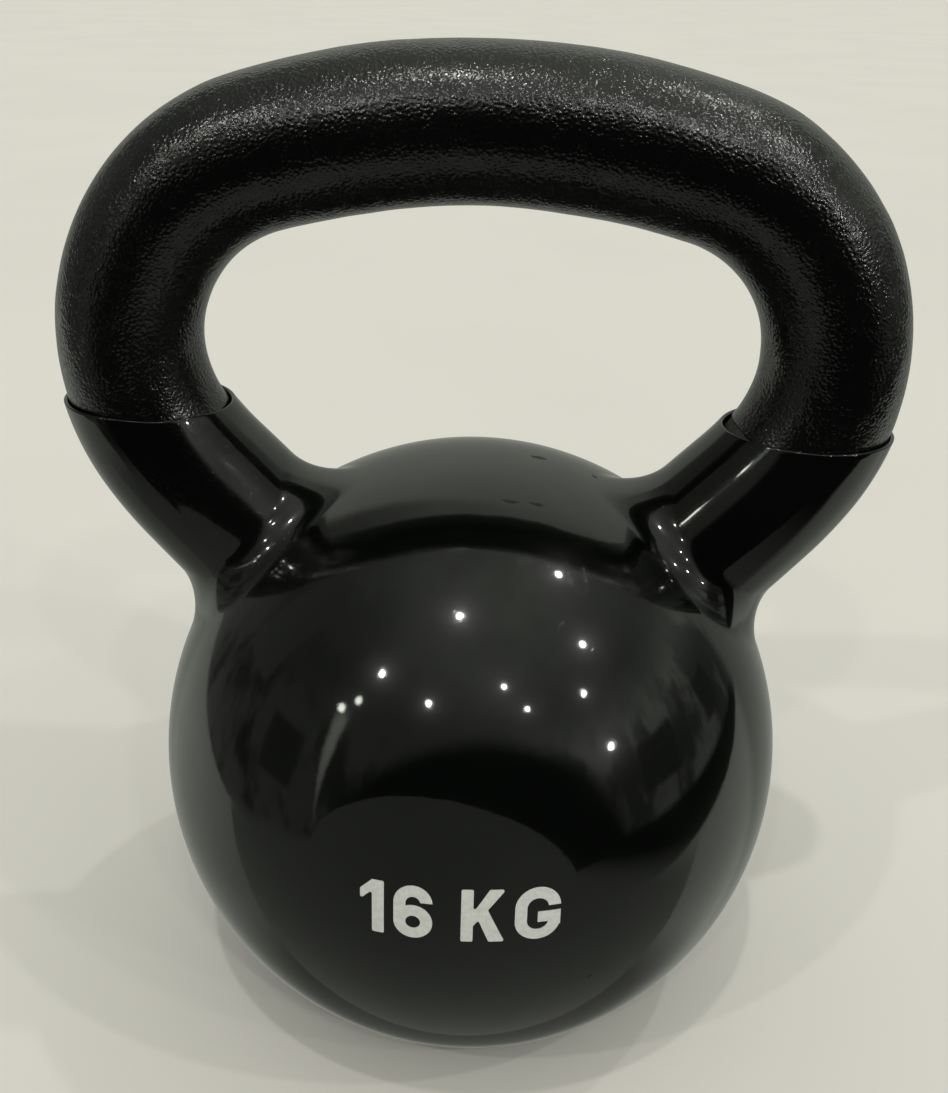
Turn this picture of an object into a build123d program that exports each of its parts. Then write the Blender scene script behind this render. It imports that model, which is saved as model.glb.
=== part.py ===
from build123d import *
import os
from math import cos, radians, sin

os.makedirs("parts", exist_ok=True)

# A vinyl-dipped cast-iron kettlebell, in millimetres. The origin is the middle of the flat base,
# +Z is up, the handle runs along X and the printed weight faces -Y.

# The casting: a ball with a flat base, and a round bar bent into a handle that grows out of it.
BALL_RADIUS = 77.1          # iron only
BALL_CENTRE_Z = 62.5        # above the surface that the kettlebell stands on
WALL = 3.0                  # vinyl around the ball and under the base
CORE_BASE_EDGE = 5.0        # rounding between the iron ball and its flat base
CORE_ROOT_FILLET = 8.0      # where each iron horn flows into the ball

# The handle's centreline in the XZ plane, as tangent arcs. Each angle is that of an arc's outward
# normal, up from +X: the crown ends at the first, the corner at the second and the leg at the third.
CROWN_TOP_Z = 220.5
CROWN_RADIUS = 174.4
CORNER_RADIUS = 45.6
LEG_RADIUS = 83.7
CROWN_END = 73.1
CORNER_END = -34.0
LEG_END = -42.4
ROOT_RUN = 34.0             # straight run from the leg arc into the ball

# The iron bar's radius inside the ball, at the foot of the corner, at the widest point and at the crown.
ROOT_BAR_RADIUS = 17.9
FOOT_BAR_RADIUS = 17.3
SHOULDER_RADIUS = 16.7
GRIP_RADIUS = 17.1

# The coatings. The powder coat covers the handle and runs a little way under the vinyl jacket.
COAT = 0.2
COAT_TUCK = 9.0             # how far below the dip line the coat ends
LIP_Z = 153.8               # the dip line on the centre plane
DIP_TILT = 0.9              # degrees that the dip line leans, high on the -X side
JACKET_FOOT_WALL = 1.7      # vinyl on the bar at the foot of the corner
JACKET_SHOULDER_WALL = 1.4  # the same, carried on up to the widest point
JACKET_ROOT_WALL = 2.1
JACKET_ROOT_FILLET = 11.0
JACKET_BASE_EDGE = 7.0
LIP_ROUND = 0.35            # the rim's rolled outer edge

# The jacket's two mouths stand a little off the bar, most on the inside and outside of the bend.
MOUTH_DEPTH = 6.0           # below the dip line
MOUTH_GAP = 0.15
MOUTH_OVAL = 0.6            # extra gap in the plane of the bend

# The printed weight: plain numerals and letters of one stroke width.
INK = 0.15
MARK_HEIGHT = 13.1
MARK_RISE = 6.2             # the mark's middle above the ball's centre
STROKE = 2.6
INK_SPREAD = 0.35           # rounding of the corners of the 1 and the K
LETTER_GAP = 2.1
WORD_GAP = 6.1
ONE_WIDTH = 5.2
SIX_WIDTH = 8.4
K_WIDTH = 9.4
K_ARM_FOOT = 4.2            # where the arm leaves the stem
K_SLANT = 3.4               # length of the arm's and the leg's level ends
K_LEG_OUTER = (5.6, 8.4)    # the two top corners of the leg, both inside the arm
K_LEG_INNER = (3.6, 6.0)
G_WIDTH = 9.8
G_BAR_TOP = 7.1
G_SPUR_FOOT = 3.4           # the spur under the bar ends inside the loop
LOOP_END_RISE = 0.3         # how far an open loop's upper end is cut above where its curve begins

JACKET_RADIUS = BALL_RADIUS + WALL
BALL_CENTRE = (0.0, 0.0, BALL_CENTRE_Z)


def on_circle(centre, radius, angle):
    """The point of a circle in the XZ plane at an angle up from +X."""
    return (centre[0] + radius * cos(radians(angle)), centre[1] + radius * sin(radians(angle)))


# The centreline's arc centres and joints, from the crown down the +X side.
crown_centre = (0.0, CROWN_TOP_Z - CROWN_RADIUS)
crown_end = on_circle(crown_centre, CROWN_RADIUS, CROWN_END)
corner_centre = on_circle(crown_end, CORNER_RADIUS, CROWN_END + 180.0)
corner_end = on_circle(corner_centre, CORNER_RADIUS, CORNER_END)
leg_centre = on_circle(corner_end, LEG_RADIUS, CORNER_END + 180.0)
leg_end = on_circle(leg_centre, LEG_RADIUS, LEG_END)
root_end = on_circle(leg_end, ROOT_RUN, LEG_END - 90.0)

with BuildLine(Plane.XZ) as centreline:
    CenterArc(crown_centre, CROWN_RADIUS, CROWN_END, 180.0 - 2.0 * CROWN_END)
    CenterArc(corner_centre, CORNER_RADIUS, CORNER_END, CROWN_END - CORNER_END)
    CenterArc(leg_centre, LEG_RADIUS, LEG_END, CORNER_END - LEG_END)
    Line(leg_end, root_end)
    mirror(about=Plane.YZ)

# Distances along the wire from its +X end, for the places where the bar's radius is given.
foot_run = ROOT_RUN + LEG_RADIUS * radians(CORNER_END - LEG_END)
shoulder_run = foot_run + CORNER_RADIUS * radians(-CORNER_END)
grip_run = shoulder_run + CORNER_RADIUS * radians(CROWN_END)
wire_length = 2.0 * grip_run + CROWN_RADIUS * radians(180.0 - 2.0 * CROWN_END)


def station(run):
    """The plane square to the centreline at a distance along it."""
    place = run / wire_length
    return Plane(origin=centreline.wire() @ place, x_dir=(0, 1, 0), z_dir=centreline.wire() % place)


def handle_bar(walls, oval=0.0):
    """A solid bar along the whole centreline.

    walls is what it adds to the iron's radius inside the ball, at the foot, at the widest point and
    at the crown, and oval is what it adds again in the plane of the bend.
    """
    runs = (0.0, foot_run, shoulder_run, grip_run)
    radii = (ROOT_BAR_RADIUS, FOOT_BAR_RADIUS, SHOULDER_RADIUS, GRIP_RADIUS)
    half = [(run, radius + wall) for run, radius, wall in zip(runs, radii, walls)]
    middle = [(wire_length / 2, half[-1][1])]
    other_half = [(wire_length - run, radius) for run, radius in reversed(half)]
    with BuildPart() as bar:
        for run, radius in half + middle + other_half:
            with BuildSketch(station(run)):
                Ellipse(radius, radius + oval)
        sweep(path=centreline.wire(), multisection=True)
    return bar.part


def dip_plane(drop):
    """The plane of the dip line, lowered by a distance."""
    lean = radians(DIP_TILT)
    return Plane(origin=(0, 0, LIP_Z - drop), z_dir=(sin(lean), 0, cos(lean)))


def glyph_one():
    """A straight stem with a slanting flag at its top left."""
    flag_drop = ONE_WIDTH - STROKE
    with BuildSketch() as glyph:
        with Locations((ONE_WIDTH - STROKE / 2, MARK_HEIGHT / 2)):
            Rectangle(STROKE, MARK_HEIGHT)
        with BuildLine():
            Polyline(
                (ONE_WIDTH - STROKE, MARK_HEIGHT),
                (0, MARK_HEIGHT - flag_drop),
                (0, MARK_HEIGHT - flag_drop - STROKE),
                (ONE_WIDTH - STROKE, MARK_HEIGHT - STROKE),
                close=True,
            )
        make_face()
        fillet(glyph.vertices(), INK_SPREAD)
    return glyph.sketch


def letter_loop(width):
    """A tall rounded loop of one stroke, as wide as given."""
    with BuildSketch() as loop:
        with Locations((width / 2, MARK_HEIGHT / 2)):
            SlotOverall(MARK_HEIGHT, width, rotation=90)
            SlotOverall(MARK_HEIGHT - 2 * STROKE, width - 2 * STROKE, rotation=90, mode=Mode.SUBTRACT)
    return loop.sketch


def glyph_six():
    """A loop opened above a round bowl."""
    bowl = SIX_WIDTH / 2
    gap_top = MARK_HEIGHT - bowl + LOOP_END_RISE
    with BuildSketch() as glyph:
        add(letter_loop(SIX_WIDTH))
        with Locations((SIX_WIDTH - bowl / 2, (bowl + gap_top) / 2)):
            Rectangle(bowl, gap_top - bowl, mode=Mode.SUBTRACT)
        with Locations((bowl, bowl)):
            Circle(bowl)
            Circle(bowl - STROKE, mode=Mode.SUBTRACT)
    return glyph.sketch


def glyph_k():
    """A stem, an arm that rises to the right and a leg that leaves the arm."""
    with BuildSketch() as glyph:
        with Locations((STROKE / 2, MARK_HEIGHT / 2)):
            Rectangle(STROKE, MARK_HEIGHT)
        with BuildLine():
            Polyline(
                (STROKE, K_ARM_FOOT),
                (STROKE, K_ARM_FOOT + K_SLANT),
                (K_WIDTH - K_SLANT, MARK_HEIGHT),
                (K_WIDTH, MARK_HEIGHT),
                close=True,
            )
        make_face()
        with BuildLine():
            Polyline(
                (K_WIDTH - K_SLANT, 0),
                (K_WIDTH, 0),
                K_LEG_OUTER,
                K_LEG_INNER,
                close=True,
            )
        make_face()
        fillet(glyph.vertices(), INK_SPREAD)
    return glyph.sketch


def glyph_g():
    """A loop opened at the upper right, with a bar that turns in."""
    shoulder = G_WIDTH / 2
    gap_top = MARK_HEIGHT - shoulder + LOOP_END_RISE
    with BuildSketch() as glyph:
        add(letter_loop(G_WIDTH))
        with Locations((G_WIDTH - shoulder / 2, (G_BAR_TOP + gap_top) / 2)):
            Rectangle(shoulder, gap_top - G_BAR_TOP, mode=Mode.SUBTRACT)
        with Locations((G_WIDTH - shoulder / 2, G_BAR_TOP - STROKE / 2)):
            Rectangle(shoulder, STROKE)
        with Locations((G_WIDTH - STROKE / 2, (G_BAR_TOP + G_SPUR_FOOT) / 2)):
            Rectangle(STROKE, G_BAR_TOP - G_SPUR_FOOT)
    return glyph.sketch


iron_bar = handle_bar((0.0, 0.0, 0.0, 0.0))
coated_bar = handle_bar((COAT, COAT, COAT, COAT))
jacket_bar = handle_bar((JACKET_ROOT_WALL, JACKET_FOOT_WALL, JACKET_SHOULDER_WALL, JACKET_SHOULDER_WALL))
mouth_wall = COAT + MOUTH_GAP
mouth_bar = handle_bar((mouth_wall, mouth_wall, mouth_wall, mouth_wall), MOUTH_OVAL)

# One grey-iron casting: ball, flat base, two horns and handle.
with BuildPart() as iron_core:
    with Locations(BALL_CENTRE):
        Sphere(BALL_RADIUS)
    add(iron_bar)
    fillet(iron_core.edges(Select.NEW), radius=CORE_ROOT_FILLET)
    split(bisect_by=Plane.XY.offset(WALL), keep=Keep.TOP)
    fillet(iron_core.faces().sort_by(Axis.Z)[0].edges(), radius=CORE_BASE_EDGE)

# The textured powder coat: a skin on the handle that ends under the jacket.
with BuildPart() as handle_coat:
    add(coated_bar)
    add(iron_bar, mode=Mode.SUBTRACT)
    split(bisect_by=dip_plane(COAT_TUCK), keep=Keep.TOP)

# The room round the bar in the jacket's two mouths.
with BuildPart() as mouth_room:
    add(mouth_bar)
    split(bisect_by=dip_plane(MOUTH_DEPTH), keep=Keep.TOP)

# The dipped vinyl jacket: ball, base and horn roots, open at a mouth round each horn.
with BuildPart() as vinyl_jacket:
    with Locations(BALL_CENTRE):
        Sphere(JACKET_RADIUS)
    add(jacket_bar)
    fillet(vinyl_jacket.edges(Select.NEW), radius=JACKET_ROOT_FILLET)
    split(bisect_by=Plane.XY, keep=Keep.TOP)
    fillet(vinyl_jacket.faces().sort_by(Axis.Z)[0].edges(), radius=JACKET_BASE_EDGE)
    split(bisect_by=dip_plane(0.0), keep=Keep.BOTTOM)
    fillet(vinyl_jacket.faces().filter_by(dip_plane(0.0)).edges(), radius=LIP_ROUND)
    add(iron_core.part, mode=Mode.SUBTRACT)
    add(mouth_room.part, mode=Mode.SUBTRACT)
    add(handle_coat.part, mode=Mode.SUBTRACT)

# The weight, printed on the front of the ball: glyph prisms cut to the thin shell of ink.
letters = [(glyph_one, ONE_WIDTH, LETTER_GAP), (glyph_six, SIX_WIDTH, WORD_GAP),
           (glyph_k, K_WIDTH, LETTER_GAP), (glyph_g, G_WIDTH, 0.0)]
mark_width = sum(width + gap for glyph, width, gap in letters)
with BuildPart() as weight_mark:
    pen = -mark_width / 2
    with BuildSketch(Plane.XZ.offset(BALL_RADIUS / 2)):
        for glyph, width, gap in letters:
            with Locations((pen, BALL_CENTRE_Z + MARK_RISE - MARK_HEIGHT / 2)):
                add(glyph())
            pen += width + gap
    extrude(amount=BALL_RADIUS)
    with Locations(BALL_CENTRE):
        Sphere(JACKET_RADIUS + INK, mode=Mode.INTERSECT)
        Sphere(JACKET_RADIUS, mode=Mode.SUBTRACT)

for piece, node in (
    (iron_core, "iron_core"),
    (handle_coat, "handle_coat"),
    (vinyl_jacket, "vinyl_jacket"),
    (weight_mark, "weight_mark"),
):
    piece.part.label = node
    export_step(piece.part, f"parts/{node}.step")
    print(node, round(piece.part.volume), len(piece.solids()), piece.part.is_valid)
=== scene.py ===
"""A vinyl-dipped cast-iron kettlebell: glossy jacket, textured handle and printed weight.

Everything is in metres, in the frame's own axes: +Z up, the handle along X, the print towards -Y.
"""

import logging
from dataclasses import dataclass, field
from enum import Enum
from typing import Callable

import bpy
import numpy as np
from mathutils import Euler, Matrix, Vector


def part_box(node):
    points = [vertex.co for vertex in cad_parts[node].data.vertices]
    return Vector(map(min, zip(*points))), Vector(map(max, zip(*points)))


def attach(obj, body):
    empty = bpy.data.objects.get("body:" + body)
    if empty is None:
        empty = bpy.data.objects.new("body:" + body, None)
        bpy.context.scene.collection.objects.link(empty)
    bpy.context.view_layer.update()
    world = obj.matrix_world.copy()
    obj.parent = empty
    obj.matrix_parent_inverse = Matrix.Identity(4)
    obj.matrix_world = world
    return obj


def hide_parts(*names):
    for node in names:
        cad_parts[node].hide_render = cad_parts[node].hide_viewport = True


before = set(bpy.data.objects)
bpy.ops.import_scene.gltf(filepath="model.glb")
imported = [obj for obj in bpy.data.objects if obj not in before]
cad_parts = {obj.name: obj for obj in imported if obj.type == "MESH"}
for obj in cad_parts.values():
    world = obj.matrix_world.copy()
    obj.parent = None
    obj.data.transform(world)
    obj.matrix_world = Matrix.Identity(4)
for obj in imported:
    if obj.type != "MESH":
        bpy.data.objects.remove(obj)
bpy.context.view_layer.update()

LOG = logging.getLogger("kettlebell")
BODY = "root"

Socket = bpy.types.NodeSocket
Colour = tuple[float, float, float, float]
Place = tuple[float, float, float]
# Where a value starts and stops changing, then the results there.
Fade = tuple[float, float, float, float]
# The azimuth towards the nearest place of a straight edge in the room, its dip and its softness.
Edge = tuple[float, float, float]
# The azimuth, height, radius and softness of a round patch of the room.
Patch = tuple[float, float, float, float]


class Slot(Enum):
    """The record's material slot names for the new pieces; nothing here uses them."""

    COAT = "handle_powder_coat"
    VINYL = "black_vinyl"


class Side(Enum):
    """The two horns, by the sign of X that they stand on."""

    LEFT = -1.0
    RIGHT = 1.0


# ---------------------------------------------------------------------------------------------
# Shape helpers


def smooth_step(t: np.ndarray) -> np.ndarray:
    """Ease from 0 to 1 with level ends.

    Args:
        t: Progress, held between 0 and 1.

    Returns:
        t squared times (3 less twice t).
    """
    t = np.clip(t, 0.0, 1.0)
    return t * t * (3.0 - 2.0 * t)


@dataclass(frozen=True)
class Ripples:
    """A smooth uneven field: a sum of plane waves of about one wavelength, in fixed random directions."""

    wavelength: float
    height: float
    seed: int
    waves: int = 24

    def at(self, points: np.ndarray) -> np.ndarray:
        """Work out the field.

        Args:
            points: Places, with X, Y and Z on the last axis.

        Returns:
            The field at each place, mostly between minus and plus the height.
        """
        draw = np.random.default_rng(self.seed)
        directions = draw.normal(size=(self.waves, 3))
        directions /= np.linalg.norm(directions, axis=1, keepdims=True)
        lengths = self.wavelength * draw.uniform(0.7, 1.5, self.waves)
        phases = draw.uniform(0.0, 2.0 * np.pi, self.waves)
        turns = points @ (2.0 * np.pi * directions / lengths[:, None]).T + phases
        return self.height * np.sin(turns).sum(axis=-1) * np.sqrt(2.0 / self.waves) / 2.0


def wrapped_quads(rows: int, columns: int) -> np.ndarray:
    """Number the quads of a grid that closes on itself both ways, as a ring-shaped tube does.

    Args:
        rows: Rings in the grid.
        columns: Points in each ring.

    Returns:
        Four vertex numbers for each quad.
    """
    row = np.arange(rows)[:, None]
    column = np.arange(columns)[None, :]
    next_row = (row + 1) % rows
    next_column = (column + 1) % columns
    corners = (
        row * columns + column,
        row * columns + next_column,
        next_row * columns + next_column,
        next_row * columns + column,
    )
    return np.stack([np.broadcast_to(c, (rows, columns)) for c in corners], axis=-1).reshape(-1, 4)


def enclosed_volume(points: np.ndarray, quads: np.ndarray) -> float:
    """Sum the signed volumes of the tetrahedra from the origin to each half quad.

    Args:
        points: Vertex places, one row each.
        quads: Four vertex numbers for each face.

    Returns:
        The volume, negative where the faces look inwards.
    """
    a, b, c, d = (points[quads[:, k]] for k in range(4))
    halves = np.cross(a, b) * c + np.cross(a, c) * d
    return float(halves.sum()) / 6.0


def put_in_scene(name: str, data: bpy.types.ID) -> bpy.types.Object:
    """Make an object of a mesh, lamp or camera and link it into the scene.

    Args:
        name: The object's name.
        data: The mesh, lamp or camera.

    Returns:
        The new object, at the origin.
    """
    made = bpy.data.objects.new(name, data)
    bpy.context.scene.collection.objects.link(made)
    return made


def flat_sheet(name: str, corners: list[Place], material: bpy.types.Material) -> bpy.types.Object:
    """Make a flat sheet of one face.

    Args:
        name: Its name.
        corners: Its outline, in order.
        material: Its finish.

    Returns:
        The new object, at the origin.
    """
    mesh = bpy.data.meshes.new(name)
    mesh.from_pydata(corners, [], [tuple(range(len(corners)))])
    mesh.materials.append(material)
    return put_in_scene(name, mesh)


def skin(
    name: str, points: np.ndarray, quads: np.ndarray, normals: np.ndarray | None = None
) -> bpy.types.Object:
    """Make a smooth-shaded mesh object whose faces look outwards.

    Args:
        name: The piece's name.
        points: Vertex places, one row each.
        quads: Four vertex numbers for each face.
        normals: Exact outward directions at the vertices, where the shape's formula gives them.

    Returns:
        The new object, at the origin.
    """
    if enclosed_volume(points, quads) < 0.0:
        quads = quads[:, ::-1]
    mesh = bpy.data.meshes.new(name)
    mesh.vertices.add(len(points))
    mesh.vertices.foreach_set("co", points.astype(np.float32).ravel())
    mesh.loops.add(quads.size)
    mesh.loops.foreach_set("vertex_index", quads.astype(np.int32).ravel())
    mesh.polygons.add(len(quads))
    mesh.polygons.foreach_set("loop_start", np.arange(0, quads.size, 4, dtype=np.int32))
    mesh.update(calc_edges=True)
    mesh.validate()
    mesh.shade_smooth()
    if normals is not None:
        mesh.normals_split_custom_set_from_vertices(normals.astype(np.float32))
    return put_in_scene(name, mesh)


@dataclass(frozen=True)
class HandleLine:
    """The handle's centreline in the XZ plane: crown, corner and leg as tangent arcs, then a straight root.

    A place on it is its run, the distance from the crown's middle. Angles are those of an arc's
    outward normal, in degrees up from +X.
    """

    crown_top: float = 0.2205
    crown_radius: float = 0.1744
    corner_radius: float = 0.0456
    leg_radius: float = 0.0837
    crown_end: float = 73.1
    corner_end: float = -34.0
    leg_end: float = -42.4
    root_run: float = 0.034
    swell_runs: tuple[float, ...] = (0.0, 0.0304, 0.1000, 0.1725, 0.1829)
    bar_radii: tuple[float, ...] = (0.01710, 0.01721, 0.01664, 0.01816, 0.01790)

    def arcs(self) -> list[tuple[np.ndarray, float, float, float]]:
        """List centre, radius, first angle and last angle of each arc, from the crown down, in radians.

        Returns:
            Those four for the crown, the corner and the leg.
        """
        angles = np.radians([90.0, self.crown_end, self.corner_end, self.leg_end])
        radii = (self.crown_radius, self.corner_radius, self.leg_radius)
        centre = np.array([0.0, self.crown_top - self.crown_radius])
        found = []
        for radius, first, last in zip(radii, angles[:-1], angles[1:]):
            if found:
                joint_normal = np.array([np.cos(first), np.sin(first)])
                centre = found[-1][0] + (found[-1][1] - radius) * joint_normal
            found.append((centre, radius, first, last))
        return found

    def joints(self) -> np.ndarray:
        """Give the runs at which the crown, corner, leg and root end."""
        lengths = [radius * (first - last) for _, radius, first, last in self.arcs()]
        return np.cumsum([*lengths, self.root_run])

    def place(self, run: np.ndarray) -> tuple[np.ndarray, np.ndarray]:
        """Find places on the +X half of the line.

        Each arc adds its radius times the unit normal to its centre; past the last arc the line
        goes straight on along the last tangent.

        Args:
            run: Distances from the crown's middle, none of them negative.

        Returns:
            The places and the outward normals' angles.
        """
        arcs = self.arcs()
        ends = self.joints()
        starts = np.concatenate([[0.0], ends[:-1]])
        leg_centre, leg_radius, _, last = arcs[-1]
        normal = np.array([np.cos(last), np.sin(last)])
        tangent = np.array([np.sin(last), -np.cos(last)])
        spot = leg_centre + leg_radius * normal + (run - ends[2])[..., None] * tangent
        angle = np.full(run.shape, last)
        for (centre, radius, first, _), start, end in zip(arcs, starts, ends):
            here = (run >= start) & (run <= end)
            turned = first - (run - start) / radius
            on_arc = centre + radius * np.stack([np.cos(turned), np.sin(turned)], axis=-1)
            spot = np.where(here[..., None], on_arc, spot)
            angle = np.where(here, turned, angle)
        return spot, angle

    def bar_radius(self, run: np.ndarray, walls: tuple[float, ...]) -> np.ndarray:
        """Ease the bar's radius from each of its thickest and thinnest places to the next.

        Args:
            run: Distances from the crown's middle.
            walls: What a layer adds to the iron at each of those places.

        Returns:
            The radius over that layer.
        """
        radii = [iron + wall for iron, wall in zip(self.bar_radii, walls)]
        radius = np.full(run.shape, radii[0])
        for start, end, before, after in zip(self.swell_runs, self.swell_runs[1:], radii, radii[1:]):
            eased = before + (after - before) * smooth_step((run - start) / (end - start))
            radius = np.where(run > start, eased, radius)
        return radius

    def tube(
        self, run: np.ndarray, around: np.ndarray, radius: np.ndarray, side: np.ndarray | float
    ) -> np.ndarray:
        """Carry a circle along the line.

        Args:
            run: Distances from the crown's middle, none of them negative.
            around: Angles round the bar, 0 on the outside of the bend, in radians.
            radius: The bar's radius there.
            side: The sign of X.

        Returns:
            Places on the bar: the line's place, plus the radius times (cosine of the angle along the
            outward normal, and sine of it along Y).
        """
        spot, angle = self.place(run)
        out = radius * np.cos(around)
        x = spot[..., 0] + out * np.cos(angle)
        z = spot[..., 1] + out * np.sin(angle)
        return np.stack(np.broadcast_arrays(side * x, radius * np.sin(around), z), axis=-1)

    def nearest(self, points: np.ndarray) -> tuple[np.ndarray, np.ndarray]:
        """Find the nearest run of the line to each point, treating both halves alike.

        Args:
            points: Places in space.

        Returns:
            The distance to the line and the run of its nearest place.
        """
        x = np.abs(points[..., 0])
        y = points[..., 1]
        z = points[..., 2]
        best = np.full(x.shape, np.inf)
        best_run = np.zeros(x.shape)
        ends = self.joints()
        starts = np.concatenate([[0.0], ends[:-1]])
        for (centre, radius, first, last), start in zip(self.arcs(), starts):
            angle = np.clip(np.arctan2(z - centre[1], x - centre[0]), last, first)
            off_x = x - centre[0] - radius * np.cos(angle)
            off_z = z - centre[1] - radius * np.sin(angle)
            distance = np.sqrt(off_x**2 + y**2 + off_z**2)
            nearer = distance < best
            best = np.where(nearer, distance, best)
            best_run = np.where(nearer, start + radius * (first - angle), best_run)
        leg_centre, leg_radius, _, last = self.arcs()[-1]
        foot = leg_centre + leg_radius * np.array([np.cos(last), np.sin(last)])
        tangent = np.array([np.sin(last), -np.cos(last)])
        from_x, from_z = x - foot[0], z - foot[1]
        along = np.clip(from_x * tangent[0] + from_z * tangent[1], 0.0, self.root_run)
        distance = np.sqrt((from_x - along * tangent[0]) ** 2 + y**2 + (from_z - along * tangent[1]) ** 2)
        nearer = distance < best
        return np.where(nearer, distance, best), np.where(nearer, ends[2] + along, best_run)


@dataclass(frozen=True)
class DipLine:
    """The level to which the casting was dipped, a little higher on the left horn."""

    height: float = 0.1538
    lean: float = 0.9

    def above(self, points: np.ndarray) -> np.ndarray:
        """Give the height of points above the dip line's plane, measured square to it."""
        lean = np.radians(self.lean)
        return np.sin(lean) * points[..., 0] + np.cos(lean) * (points[..., 2] - self.height)


# ---------------------------------------------------------------------------------------------
# Shader helpers


@dataclass
class Desk:
    """A node tree being laid out, with short ways to add and join nodes."""

    tree: bpy.types.NodeTree

    def node(self, kind: str, **settings: object) -> bpy.types.Node:
        """Add a node.

        Args:
            kind: The node's type name, without its ShaderNode prefix.
            settings: Properties of the node.

        Returns:
            The node.
        """
        made = self.tree.nodes.new("ShaderNode" + kind)
        for key, value in settings.items():
            setattr(made, key, value)
        return made

    def feed(self, socket: Socket, value: object) -> None:
        """Join an output socket to an input, or set the input to a plain value.

        Args:
            socket: The input.
            value: The output that feeds it, or its value.
        """
        if isinstance(value, Socket):
            self.tree.links.new(value, socket)
        else:
            socket.default_value = value

    def feed_all(self, made: bpy.types.Node, values: dict[str, object]) -> bpy.types.Node:
        """Feed a node's inputs by their names.

        Args:
            made: The node.
            values: What each named input gets.

        Returns:
            The same node.
        """
        for key, value in values.items():
            self.feed(made.inputs[key], value)
        return made

    def math(self, operation: str, *values: object, clamp: bool = False) -> Socket:
        """Add a Math node.

        Args:
            operation: The node's operation.
            values: Its inputs in order, each a number or a socket.
            clamp: Whether the result is held between 0 and 1.

        Returns:
            The result's socket.
        """
        made = self.node("Math", operation=operation, use_clamp=clamp)
        for socket, value in zip(made.inputs, values):
            self.feed(socket, value)
        return made.outputs[0]

    def times(self, first: object, second: object) -> Socket:
        """Multiply two values."""
        return self.math("MULTIPLY", first, second)

    def share(self, value: object, amount: object, base: object) -> Socket:
        """Add an amount of a value to a base."""
        return self.math("MULTIPLY_ADD", value, amount, base)

    def vector(self, operation: str, *values: object) -> Socket:
        """Add a Vector Math node.

        Args:
            operation: The node's operation.
            values: Its inputs in order.

        Returns:
            The result's socket, a number's for a length or a dot product.
        """
        made = self.node("VectorMath", operation=operation)
        for socket, value in zip(made.inputs, values):
            self.feed(socket, value)
        return made.outputs["Value" if operation in ("LENGTH", "DOT_PRODUCT") else "Vector"]

    def ramp(
        self, value: object, low: float, high: float, at_low: float = 0.0, at_high: float = 1.0
    ) -> Socket:
        """Ease a value from one range to another.

        Args:
            value: The socket that varies.
            low: Where the result is at_low.
            high: Where the result is at_high.
            at_low: The result at and below low.
            at_high: The result at and above high.

        Returns:
            The result's socket.
        """
        made = self.node("MapRange", interpolation_type="SMOOTHSTEP")
        ends = {"From Min": low, "From Max": high, "To Min": at_low, "To Max": at_high}
        return self.feed_all(made, {"Value": value, **ends}).outputs[0]

    def noise(self, where: Socket, scale: object, detail: float, roughness: float = 0.5) -> Socket:
        """Add a Noise texture and give its value's socket, which lies mostly between 0.3 and 0.7."""
        values = {"Vector": where, "Scale": scale, "Detail": detail, "Roughness": roughness}
        return self.feed_all(self.node("TexNoise"), values).outputs["Fac"]

    def jitter(self, where: Socket, scale: object) -> Socket:
        """Add a Noise texture and give its colour's socket, which serves to shift places about."""
        return self.feed_all(self.node("TexNoise"), {"Vector": where, "Scale": scale}).outputs["Color"]

    def blend(self, amount: object, first: object, second: object) -> Socket:
        """Mix two colours by an amount and give the result's socket."""
        made = self.node("Mix", data_type="RGBA")
        return self.feed_all(made, {"Factor": amount, "A": first, "B": second}).outputs["Result"]

    def bump(self, height: Socket, distance: float, onto: object = None) -> Socket:
        """Turn a height into a normal.

        Args:
            height: The height's socket.
            distance: What one unit of height is worth, in metres.
            onto: A normal that this one is laid over.

        Returns:
            The normal's socket.
        """
        made = self.feed_all(self.node("Bump"), {"Height": height, "Distance": distance, "Strength": 1.0})
        if onto is not None:
            self.feed(made.inputs["Normal"], onto)
        return made.outputs["Normal"]


def effect_group(
    name: str, inputs: dict[str, float], outputs: tuple[str, ...], lay_out: Callable[[Desk, dict, dict], None]
) -> bpy.types.NodeTree:
    """Make a node group that several finishes share.

    Args:
        name: The group's name.
        inputs: Its number inputs with their defaults. It has a Vector input too.
        outputs: Its value outputs.
        lay_out: Lays the nodes between the two, given the desk, the inputs and the outputs by name.

    Returns:
        The group.
    """
    group = bpy.data.node_groups.new(name, "ShaderNodeTree")
    group.interface.new_socket("Vector", in_out="INPUT", socket_type="NodeSocketVector")
    for key, number in inputs.items():
        made = group.interface.new_socket(key, in_out="INPUT", socket_type="NodeSocketFloat")
        made.default_value = number
    for key in outputs:
        group.interface.new_socket(key, in_out="OUTPUT", socket_type="NodeSocketFloat")
    enter = group.nodes.new("NodeGroupInput")
    leave = group.nodes.new("NodeGroupOutput")
    lay_out(Desk(group), {s.name: s for s in enter.outputs}, {s.name: s for s in leave.inputs})
    return group


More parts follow.
